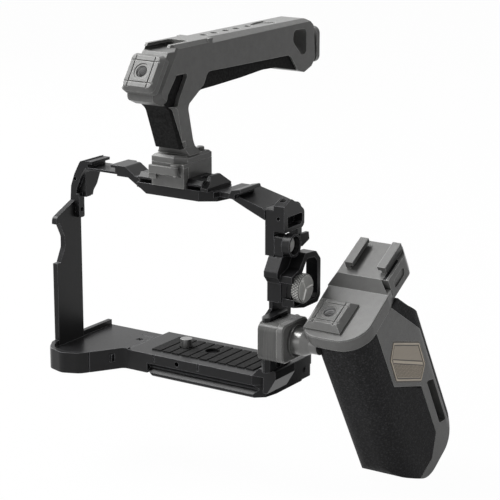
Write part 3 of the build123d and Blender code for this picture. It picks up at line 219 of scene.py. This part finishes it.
def thread_surface(middle, axis, length, pitch):
    """Inside thread: r = radius - depth * V(z / pitch - angle / turn), V cut to leave flat roots."""
    steps_per_turn = 8
    columns = 48
    axis = np.array(axis) / np.linalg.norm(axis)
    side = np.array([1.0, 0.0, 0.0])
    across = np.cross(axis, side)
    z, angle = np.meshgrid(np.linspace(0, length, int(length / pitch * steps_per_turn)),
                           np.linspace(0, -2 * math.pi, columns, endpoint=False), indexing="ij")
    ridge = np.clip(1.4 * zigzag(z / pitch - angle / (2 * math.pi)) - 0.2, 0, 1)
    run_out = np.clip(np.minimum(z, length - z) / pitch, 0, 1)
    r = THREAD_RADIUS - THREAD_DEPTH * pitch * ridge * run_out
    ring = r[..., None] * (np.cos(angle)[..., None] * side + np.sin(angle)[..., None] * across)
    return np.array(middle) + ring + (z - length / 2)[..., None] * axis


def thumbscrew_mesh(low, high, knurl_pitch):
    """Knurled knob on its stem: x and r follow a profile round the X axis.

    The profile goes out over the face, back along the rim and down to the stem. V grooves run round
    the rim along count * angle / turn + x / lead and its mirror image. Three ridges stand on the
    face along their rays, and the edge has a notch.
    """
    head_thickness = 4.4 * MM
    stem_radius = 2 * MM
    front_chamfer = 0.8 * MM
    back_chamfer = 0.3 * MM
    groove_depth = 0.4 * MM
    groove_lead = 1.4 * knurl_pitch
    ridge_height = 0.6 * MM
    ridge_flat = 0.35 * MM
    ridge_margin = 1.6 * MM
    ridge_angles = np.radians((5, 125, 245))
    notch_half_width = 0.9 * MM
    notch_depth = 1.75 * MM
    notch_length = 2.5 * MM

    radius = (high[2] - low[2]) / 2
    face = high[0] - ridge_height
    back = face - head_thickness
    out = np.linspace(0, radius - front_chamfer, 36)
    rim = np.linspace(face - front_chamfer, back + back_chamfer, 44)
    r = np.concatenate([out, np.full(rim.size, radius),
                        [radius - back_chamfer, stem_radius, stem_radius, 0]])
    x = np.concatenate([np.full(out.size, face), rim, [back, back, low[0], low[0]]])
    r, around = np.meshgrid(r, np.linspace(0, 2 * math.pi, 480, endpoint=False), indexing="ij")
    x = x[:, None] + 0 * r

    steps = round(2 * math.pi * radius / knurl_pitch) * around / (2 * math.pi)
    lean = x / groove_lead
    diamond = np.clip(1.6 * np.minimum(zigzag(steps + lean), zigzag(steps - lean)), 0, 1)
    r = np.where((x < face) & (x > back), r - groove_depth * (1 - diamond), r)

    for ray in ridge_angles:
        off = np.abs(r * np.sin(around - ray))
        rise = ridge_height * np.clip(2 - off / ridge_flat, 0, 1)
        on_ray = (x >= face) & (np.cos(around - ray) > 0) & (r < radius - ridge_margin)
        x = np.where(on_ray, np.maximum(x, face + rise), x)

    floor = face - notch_length
    in_notch = (np.abs(r * np.sin(around)) < notch_half_width) & (np.cos(around) > 0) & (x > floor)
    r = np.where(in_notch & (x < face), np.minimum(r, radius - notch_depth), r)
    x = np.where(in_notch & (x >= face) & (r > radius - notch_depth), floor, x)

    middle = (low + high) / 2
    points = np.stack([x, middle[1] + r * np.cos(around), middle[2] + r * np.sin(around)], axis=-1)
    return grid_mesh("knurled_thumbscrew", points, closed=True)


def badge_mesh(face, thickness, pitch):
    """Engraved hexagonal plate in the side handle's own axes.

    Rows run from its top edge to its bottom edge, between its left and right corners. The height is
    read from a profile of the distance to the nearest edge, and inside that from a profile of the
    distance to the bar across the middle. Below the bar V grooves along (a + b) / pitch and
    (a - b) / pitch leave diamonds, a along the bar and b down from the top edge.
    """
    # Heights and distances in mm: the grooves' floor, the field's level and where each profile ends.
    deep = -ENGRAVING_DEPTH / MM
    field_level = -0.12
    border_end = 2.7
    bar_end = 1.35

    corners = np.array(BADGE_CORNERS) * MM
    rows = np.linspace(0, 1, 130)
    left = np.stack([np.interp(rows, (0, 0.5, 1), corners[[0, 5, 4], k]) for k in (0, 1)], axis=-1)
    right = np.stack([np.interp(rows, (0, 0.5, 1), corners[[1, 2, 3], k]) for k in (0, 1)], axis=-1)
    share = np.linspace(0, 1, 210)[None, :, None]
    place = left[:, None] * (1 - share) + right[:, None] * share

    def distance(start, end):
        along = (end - start) / np.linalg.norm(end - start)
        return np.abs(along[0] * (place[..., 1] - start[1]) - along[1] * (place[..., 0] - start[0]))

    sides = zip(corners, np.roll(corners, -1, axis=0))
    edge = np.min([distance(start, end) for start, end in sides], axis=0) / MM
    bar = distance(corners[5], corners[2]) / MM
    down = distance(corners[0], corners[1]) / pitch
    across_bar = corners[5] + (corners[5] - corners[2])[::-1] * (1, -1)
    along_bar = distance(corners[5], across_bar) / pitch

    border = np.interp(edge, (0, 0.8, 0.85, 1.6, 1.65, 2.3, 2.35, border_end),
                       (deep, deep, 0, 0, deep, deep, field_level, field_level))
    field = np.interp(bar, (0, 0.7, 0.75, 1.3, bar_end), (0, 0, deep, deep, field_level))
    diamond = np.clip(1.5 * np.minimum(zigzag(down + along_bar), zigzag(down - along_bar)), 0, 1)
    below = (rows[:, None] > 0.5) & (bar > bar_end)
    relief = np.where(below, deep - field_level - deep * diamond, 0)
    height = np.where(edge < border_end, border, field + relief)

    place = np.pad(place, ((1, 1), (1, 1), (0, 0)), mode="edge")
    x = np.pad(face + height * MM, 1, constant_values=face - thickness)
    return grid_mesh("badge_plate", neck_to_row(x, place[..., 0], place[..., 1]))


# ---------------------------------------------------------------- material helpers
def feed(tree, node, sockets):
    """Give inputs of a node their values, or the outputs that feed them."""
    for key, value in sockets.items():
        if isinstance(value, bpy.types.NodeSocket):
            tree.links.new(value, node.inputs[key])
        else:
            node.inputs[key].default_value = value


def add(tree, kind, sockets=None, **settings):
    """New node with settings; sockets maps an input to a value or to the output that feeds it."""
    node = tree.nodes.new(kind)
    for key, value in settings.items():
        setattr(node, key, value)
    feed(tree, node, sockets or {})
    return node


def calculate(tree, operation, first, second=0.0, **settings):
    """Result of an operation on one or two values."""
    node = add(tree, "ShaderNodeMath", {0: first, 1: second}, operation=operation, **settings)
    return node.outputs[0]


def ramp(tree, value, start, end, low=0.0, high=1.0):
    """Value that goes from low to high while another goes from start to end."""
    return add(tree, "ShaderNodeMapRange", {0: value, 1: start, 2: end, 3: low, 4: high}).outputs[0]


def blend(tree, share, start, end):
    """Colour between two others, by a share from 0 to 1."""
    return add(tree, "ShaderNodeMix", {0: share, 6: start, 7: end}, data_type="RGBA").outputs[2]


def mottled(tree, share, colour, darkest, palest):
    """A colour times a factor between the darkest and the palest, by a share from 0 to 1."""
    return blend(tree, share, shade(colour, darkest), shade(colour, palest))


def noise(tree, place, scale, detail=3.0):
    """Noise from 0 to 1 with a number of cells per metre."""
    sockets = {"Vector": place, "Scale": scale, "Detail": detail}
    return add(tree, "ShaderNodeTexNoise", sockets).outputs[0]


def bevelled(tree, radius):
    """Normal of the surface with its edges rounded."""
    return add(tree, "ShaderNodeBevel", {"Radius": radius}, samples=6).outputs[0]


def bump(tree, strength, distance, height, normal=None):
    """Normal bent by a height, over another normal if there is one."""
    sockets = {"Strength": strength, "Distance": distance, "Height": height}
    if normal is not None:
        sockets["Normal"] = normal
    return add(tree, "ShaderNodeBump", sockets).outputs[0]


def empty_tree(block):
    """Node tree of a material or world, with nothing in it."""
    block.use_nodes = True
    block.node_tree.nodes.clear()
    return block.node_tree


def new_material(name):
    """Material with a shader on its output: the material, its tree, the shader, the coordinates."""
    material = bpy.data.materials.new(name)
    tree = empty_tree(material)
    shader = add(tree, "ShaderNodeBsdfPrincipled")
    add(tree, "ShaderNodeOutputMaterial", {0: shader.outputs[0]})
    coordinates = add(tree, "ShaderNodeTexCoord").outputs["Object"]
    return material, tree, shader, coordinates


def edge_highlight_mask(tree, radius):
    """0 on flat faces and 1 on edges, by how far the rounded normal turns, for the painted edge
    highlight; and that normal.
    """
    rounded = bevelled(tree, radius)
    face = add(tree, "ShaderNodeNewGeometry").outputs["True Normal"]
    turn = add(tree, "ShaderNodeVectorMath", {0: rounded, 1: face}, operation="DOT_PRODUCT")
    return ramp(tree, turn.outputs["Value"], 0.995, 0.90), rounded


# ---------------------------------------------------------------- materials
def anodised(name, colour, edge_highlight_colour, roughness, specular, grain=0.45 * MM, spread=0.07,
             stretch=(1, 1, 1)):
    """Bead-blasted, anodised aluminium: an even satin skin of fine blast pits, with a painted highlight
    on its edges.

    The pits are about 0.1 mm on the real part and drawn as wide as the grain, so that they show. A
    brushed block has a stretch below 1 along its strokes.
    """
    material, tree, shader, place = new_material(name)
    edge_highlight, rounded = edge_highlight_mask(tree, bpy.context.scene.cage_details.edge_radius)
    drawn = add(tree, "ShaderNodeMapping", {"Vector": place, "Scale": stretch}).outputs[0]
    pits = noise(tree, drawn, 1 / grain)
    clouds = noise(tree, drawn, 0.12 / grain)
    skin = mottled(tree, clouds, colour, 1 - 2 * spread, 1 + 2 * spread)
    feed(tree, shader, {
        # Edges are blended towards a painted highlight colour.
        "Base Color": blend(tree, edge_highlight, skin, edge_highlight_colour),
        "Roughness": ramp(tree, pits, 0.3, 0.7, roughness - 0.04, roughness + 0.05),
        "Normal": bump(tree, 0.12, 0.03 * MM, pits, rounded),
        "Metallic": 0.05,
        "Specular IOR Level": specular,
    })
    return material


def turned_metal(name, colour, roughness, metallic=0.9, ring_start=0.0, ring_pitch=0.35 * MM):
    """Turned metal with the tool's fine rings along the X axis, as a sine of x."""
    material, tree, shader, place = new_material(name)
    x = add(tree, "ShaderNodeSeparateXYZ", {0: place}).outputs[0]
    from_start = calculate(tree, "SUBTRACT", x, ring_start)
    angle = calculate(tree, "MULTIPLY", from_start, 2 * math.pi / ring_pitch)
    rings = calculate(tree, "SINE", angle)
    clouds = noise(tree, place, 1 / (2 * MM))
    feed(tree, shader, {
        "Base Color": mottled(tree, clouds, colour, 0.9, 1.1),
        "Roughness": roughness,
        "Normal": bump(tree, 0.1, 0.02 * MM, rings, bevelled(tree, 0.25 * MM)),
        "Metallic": metallic,
    })
    return material


def knurled_metal(name, colour, centre, radius):
    """Nickelled steel with a rolled knurl: bright crests, and painted shade in the grooves round its X
    axis.

    Only what lies 0.05 to 0.6 mm under the radius gets the painted shade, and nearer the axis it is
    bare face.
    """
    material, tree, shader, place = new_material(name)
    moved = add(tree, "ShaderNodeVectorMath", {0: place, 1: tuple(centre)}, operation="SUBTRACT")
    flat = add(tree, "ShaderNodeVectorMath", {0: moved.outputs[0], 1: (0, 1, 1)}, operation="MULTIPLY")
    reach = add(tree, "ShaderNodeVectorMath", {0: flat.outputs[0]}, operation="LENGTH").outputs["Value"]
    crest = ramp(tree, reach, radius - 0.45 * MM, radius - 0.05 * MM)
    face = ramp(tree, reach, radius - 0.7 * MM, radius - 0.6 * MM, 1.0, 0.0)
    bright = calculate(tree, "MAXIMUM", crest, face)
    scratches = noise(tree, place, 1 / (1.2 * MM))
    tone = mottled(tree, scratches, colour, 0.85, 1.15)
    feed(tree, shader, {
        # The knurl's grooves get a painted shade, 6 % of the steel's colour.
        "Base Color": blend(tree, bright, shade(colour, 0.06), tone),
        "Roughness": 0.4,
        "Metallic": 0.35,
    })
    return material


def moulded_rubber(name, colour):
    """Matte black rubber with the spark-eroded stipple of its mould, 0.8 mm apart, and mottling."""
    material, tree, shader, place = new_material(name)
    cells = add(tree, "ShaderNodeTexVoronoi", {"Vector": place, "Scale": 1 / (0.8 * MM)})
    spots = ramp(tree, noise(tree, place, 1 / (1.2 * MM), 4.0), 0.35, 0.65)
    rounded = bevelled(tree, 0.6 * MM)
    feed(tree, shader, {
        "Base Color": mottled(tree, spots, colour, 0.55, 1.9),
        "Roughness": 0.85,
        "Normal": bump(tree, 0.35, 0.12 * MM, cells.outputs["Distance"], rounded),
        "Specular IOR Level": 0.15,
    })
    return material


def leather(name, colour):
    """Split leather with a fine pebbled grain: cells about 0.5 mm across with soft creases, darkened by
    painted shade.

    The cells are drawn at 1.5 mm and their mottling at 1.3 mm, so that they show.
    """
    material, tree, shader, place = new_material(name)
    warp = add(tree, "ShaderNodeTexNoise", {"Vector": place, "Scale": 1 / (3 * MM), "Detail": 2.0})
    shift = add(tree, "ShaderNodeVectorMath", {0: warp.outputs["Color"], "Scale": 0.6 * MM},
                operation="SCALE")
    warped = add(tree, "ShaderNodeVectorMath", {0: place, 1: shift.outputs[0]}, operation="ADD")
    cells = add(tree, "ShaderNodeTexVoronoi", {"Vector": warped.outputs[0], "Scale": 1 / (1.5 * MM)},
                feature="DISTANCE_TO_EDGE")
    crease = ramp(tree, cells.outputs["Distance"], 0.0, 0.22)
    fine = noise(tree, place, 1 / (1.3 * MM), 4.0)
    spots = ramp(tree, fine, 0.35, 0.65)
    tone = mottled(tree, spots, colour, 0.45, 2.2)
    height = calculate(tree, "ADD", crease, fine)
    feed(tree, shader, {
        # The creases get a painted shade, 40 % of the leather's colour.
        "Base Color": blend(tree, crease, shade(colour, 0.4), tone),
        "Roughness": 0.8,
        "Normal": bump(tree, 0.4, 0.15 * MM, height, bevelled(tree, 0.8 * MM)),
        "Specular IOR Level": 0.2,
    })
    return material


def engraved_plate(name, colour, face):
    """Champagne anodised plate: satin, with a fine cross grain, and dark where it is engraved."""
    material, tree, shader, place = new_material(name)
    drawn = add(tree, "ShaderNodeMapping", {"Vector": place, "Scale": (1, 0.12, 1)}).outputs[0]
    brush = noise(tree, drawn, 1 / (0.5 * MM))
    x = add(tree, "ShaderNodeSeparateXYZ", {0: place}).outputs[0]
    height = ramp(tree, x, face - ENGRAVING_DEPTH, face)
    tone = mottled(tree, brush, colour, 0.9, 1.1)
    feed(tree, shader, {
        "Base Color": blend(tree, height, shade(colour, 0.14), tone),
        "Roughness": 0.45,
        "Normal": bump(tree, 0.1, 0.02 * MM, brush),
        "Metallic": 0.35,
    })
    return material


def set_material(nodes, material):
    """Give CAD nodes a material in place of their packed one."""
    for name in nodes:
        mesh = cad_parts[name].data
        mesh.materials.clear()
        mesh.materials.append(material)


# ---------------------------------------------------------------- operators
class CageOperator:
    bl_options = {"REGISTER", "UNDO"}


class CAGE_OT_cage_finish(CageOperator, bpy.types.Operator):
    """Black anodised skin of the cage and the cable clamp"""

    bl_idname = "cage_kit.cage_finish"
    bl_label = "Cage finish"

    def execute(self, context):
        colours = context.scene.cage_finishes
        black = anodised("black_anodised_aluminium", tuple(colours.cage), CAGE_EDGE_HIGHLIGHT,
                         roughness=0.32, specular=0.2)
        rubber = moulded_rubber("base_pad_rubber", tuple(colours.rubber))
        set_material(["base_plate", "left_side_frame", "top_frame", "top_rail", "right_side_frame",
                      "side_rail", "cable_body", "cable_jaw", "lock_lever"], black)
        set_material(["base_pad"], rubber)
        return {"FINISHED"}


class CAGE_OT_handle_finish(CageOperator, bpy.types.Operator):
    """Gunmetal anodised skin of the two handles and their clamps"""

    bl_idname = "cage_kit.handle_finish"
    bl_label = "Handle finish"

    def execute(self, context):
        colours = context.scene.cage_finishes
        grey = anodised("gunmetal_anodised_aluminium", tuple(colours.handle), HANDLE_EDGE_HIGHLIGHT,
                        roughness=0.3, specular=0.14)
        brushed = anodised("gunmetal_brushed_block", BRUSHED_BLOCK, HANDLE_EDGE_HIGHLIGHT, roughness=0.28,
                           specular=0.2, grain=0.8 * MM, spread=0.2, stretch=(1, 1, 0.05))
        neck = turned_metal("gunmetal_turned_neck", tuple(colours.handle), roughness=0.28,
                            metallic=0.7, ring_start=NECK_PIVOT.x, ring_pitch=1.6 * MM)
        set_material(["handle_frame", "front_boss", "top_clamp_body", "top_clamp_jaw",
                      "side_clamp_jaw", "side_clamp_plate", "side_head",
                      "spine_frame", "lock_button", "release_button", "clamp_lever"], grey)
        set_material(["side_clamp_body"], brushed)
        set_material(["side_neck"], neck)
        return {"FINISHED"}


class CAGE_OT_grip_finish(CageOperator, bpy.types.Operator):
    """Rubber of the top handle and leather of the side handle"""

    bl_idname = "cage_kit.grip_finish"
    bl_label = "Grip finish"

    def execute(self, context):
        colours = context.scene.cage_finishes
        set_material(["leg_grip", "bar_grip"], moulded_rubber("moulded_rubber", tuple(colours.rubber)))
        set_material(["front_panel", "rear_panel"], leather("pebbled_leather", tuple(colours.leather)))
        return {"FINISHED"}


class CAGE_OT_hardware_finish(CageOperator, bpy.types.Operator):
    """Steel of the screws, pins and thread inserts"""

    bl_idname = "cage_kit.hardware_finish"
    bl_label = "Hardware finish"

    def execute(self, context):
        colours = context.scene.cage_finishes
        low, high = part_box("thumbscrew")
        steel = turned_metal("stainless_turned", tuple(colours.steel), roughness=0.28)
        oxide = turned_metal("black_oxide_steel", BLACK_OXIDE, roughness=0.4)
        bright = knurled_metal("nickelled_steel", tuple(colours.bright), box_middle("thumbscrew"),
                               (high[2] - low[2]) / 2)
        insert = turned_metal("satin_steel_insert", INSERT_STEEL, roughness=0.55, metallic=0.5)
        screw = turned_metal("satin_screw_steel", SCREW_STEEL, roughness=0.5, metallic=0.35)
        plate = engraved_plate("champagne_anodised", tuple(colours.badge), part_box("badge")[1][0])
        set_material(["camera_screw", "lever_pin", "release_spring", "lock_spring"], steel)
        set_material(["lug_screw"], screw)
        set_material(["boss_thread", "side_boss_thread"], insert)
        set_material(["base_key", "rail_screws", "frame_screws", "cable_fixings", "handle_screws",
                      "jaw_screws", "side_key"], oxide)
        set_material(["thumbscrew"], bright)
        set_material(["badge"], plate)
        return {"FINISHED"}


class CAGE_OT_thumbscrew(CageOperator, bpy.types.Operator):
    """Knurled thumbscrew of the cable clamp"""

    bl_idname = "cage_kit.thumbscrew"
    bl_label = "Thumbscrew"

    def execute(self, context):
        low, high = (np.array(corner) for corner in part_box("thumbscrew"))
        mesh = thumbscrew_mesh(low, high, context.scene.cage_details.knurl_pitch)
        piece = new_piece("knurled_thumbscrew", mesh, bpy.data.materials["nickelled_steel"],
                          "cable_thumbscrew")
        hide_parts("thumbscrew")
        return {"FINISHED"}


class CAGE_OT_badge(CageOperator, bpy.types.Operator):
    """Bare engraved plate of the side handle"""

    bl_idname = "cage_kit.badge"
    bl_label = "Badge plate"

    def execute(self, context):
        low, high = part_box("badge")
        mesh = badge_mesh(high[0], high[0] - low[0], context.scene.cage_details.badge_pitch)
        piece = new_piece("badge_plate", mesh, bpy.data.materials["champagne_anodised"], "side_handle")
        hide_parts("badge")
        return {"FINISHED"}


class CAGE_OT_threads(CageOperator, bpy.types.Operator):
    """Quarter inch threads inside the inserts and the tripod socket"""

    bl_idname = "cage_kit.threads"
    bl_label = "Threads"

    def execute(self, context):
        pitch = context.scene.cage_details.thread_pitch
        steel = turned_metal("oiled_thread_steel", THREAD_STEEL, roughness=0.3, metallic=0.8)
        out_of_boss = (0, -math.sin(BOSS_LEAN), math.cos(BOSS_LEAN))
        up_neck = (0, -math.sin(HANDLE_TILT), math.cos(HANDLE_TILT))
        rows = (
            # name, middle, axis, length, body
            ("front_boss_thread", box_middle("boss_thread"), out_of_boss, BOSS_THREAD_LENGTH,
             "top_handle"),
            ("side_boss_thread_ridges", box_middle("side_boss_thread"), up_neck, SIDE_THREAD_LENGTH,
             "side_handle"),
            ("tripod_thread", TRIPOD_MIDDLE, (0, 0, 1), TRIPOD_THREAD_LENGTH, "cage"),
        )
        for name, middle, axis, length, body in rows:
            points = thread_surface(middle, axis, length, pitch)
            piece = new_piece(name, grid_mesh(name, points, closed=True), steel, body)
        return {"FINISHED"}


class CAGE_OT_stage(CageOperator, bpy.types.Operator):
    """Pale floor, soft studio light and the camera"""

    bl_idname = "cage_kit.stage"
    bl_label = "Stage"

    def execute(self, context):
        scene = context.scene
        build_floor(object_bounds()[0][2] - FLOOR_GAP)
        build_world(scene)
        build_lights()
        scene.camera = build_camera()
        scene.view_settings.view_transform = "Standard"
        return {"FINISHED"}


# ---------------------------------------------------------------- stage
def white_to_camera(tree, share):
    """Share of white for camera, glossy and transmission rays, and 0 for all others."""
    path = add(tree, "ShaderNodeLightPath")
    seen = path.outputs["Is Camera Ray"]
    for kind in ("Is Glossy Ray", "Is Transmission Ray"):
        seen = calculate(tree, "ADD", seen, path.outputs[kind], use_clamp=True)
    return calculate(tree, "MULTIPLY", seen, share)


def build_floor(height):
    half = FLOOR_HALF_WIDTH
    points = np.array([[[-half, -half, height], [-half, half, height]],
                       [[half, -half, height], [half, half, height]]])
    mesh = grid_mesh("studio_floor", points)
    floor = bpy.data.objects.new("studio_floor", mesh)
    bpy.context.scene.collection.objects.link(floor)
    floor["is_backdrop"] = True
    material = bpy.data.materials.new("pale_floor")
    tree = empty_tree(material)
    diffuse = add(tree, "ShaderNodeBsdfDiffuse", {"Color": FLOOR_GREY})
    white = add(tree, "ShaderNodeEmission", {"Color": WHITE, "Strength": 1.0})
    share = white_to_camera(tree, FLOOR_WHITE_SHARE)
    mixed = add(tree, "ShaderNodeMixShader", {0: share, 1: diffuse.outputs[0], 2: white.outputs[0]})
    add(tree, "ShaderNodeOutputMaterial", {0: mixed.outputs[0]})
    mesh.materials.append(material)


def build_world(scene):
    world = bpy.data.worlds.new("studio_world")
    scene.world = world
    tree = empty_tree(world)
    soft = add(tree, "ShaderNodeBackground", {"Color": WHITE, "Strength": SOFT_WORLD_STRENGTH})
    white = add(tree, "ShaderNodeBackground", {"Color": WHITE, "Strength": 1.0})
    share = white_to_camera(tree, 1.0)
    mixed = add(tree, "ShaderNodeMixShader", {0: share, 1: soft.outputs[0], 2: white.outputs[0]})
    add(tree, "ShaderNodeOutputWorld", {0: mixed.outputs[0]})


def build_lights():
    """Large softbox up on the left, a low light behind on the left and a weak front fill."""
    for name, place, width, power in LAMPS:
        light = bpy.data.lights.new(name, "AREA")
        light.energy = power
        light.size = width
        lamp = bpy.data.objects.new(name, light)
        bpy.context.scene.collection.objects.link(lamp)
        lamp.location = place
        lamp.rotation_euler = (LAMP_TARGET - Vector(place)).to_track_quat("-Z", "Y").to_euler()


def build_camera():
    """Long lens from the front right, a little above the cage."""
    camera = bpy.data.cameras.new("studio_camera")
    camera.sensor_width = SENSOR_WIDTH_MM
    camera.lens = FOCAL_LENGTH_MM
    camera.clip_end = VIEW_END
    view = bpy.data.objects.new("studio_camera", camera)
    bpy.context.scene.collection.objects.link(view)
    ahead = Vector(CAMERA_AHEAD).normalized()
    right = ahead.cross(Vector(CAMERA_UP)).normalized()
    up = right.cross(ahead)
    turn = Matrix((right, up, -ahead)).transposed().to_4x4()
    view.matrix_world = Matrix.Translation(CAMERA_PLACE) @ turn
    return view


OPERATORS = (CAGE_OT_cage_finish, CAGE_OT_handle_finish, CAGE_OT_grip_finish,
             CAGE_OT_hardware_finish, CAGE_OT_thumbscrew, CAGE_OT_badge, CAGE_OT_threads,
             CAGE_OT_stage)


class CAGE_PT_kit(bpy.types.Panel):
    bl_idname = "CAGE_PT_kit"
    bl_label = "Camera Cage Kit"
    bl_space_type = "VIEW_3D"
    bl_region_type = "UI"
    bl_category = "Cage Kit"

    def draw(self, context):
        layout = self.layout
        for operator in OPERATORS:
            layout.operator(operator.bl_idname)
        for group in (context.scene.cage_finishes, context.scene.cage_details):
            box = layout.box()
            for name in group.__annotations__:
                box.prop(group, name)


CLASSES = (CageFinishes, CageDetails, *OPERATORS, CAGE_PT_kit)


def register():
    for entry in CLASSES:
        bpy.utils.register_class(entry)
    bpy.types.Scene.cage_finishes = bpy.props.PointerProperty(type=CageFinishes)
    bpy.types.Scene.cage_details = bpy.props.PointerProperty(type=CageDetails)


def unregister():
    del bpy.types.Scene.cage_details
    del bpy.types.Scene.cage_finishes
    for entry in reversed(CLASSES):
        bpy.utils.unregister_class(entry)


def main():
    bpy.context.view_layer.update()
    register()
    for operator in OPERATORS:
        family, name = operator.bl_idname.split(".")
        getattr(getattr(bpy.ops, family), name)()


if __name__ == "__main__":
    main()
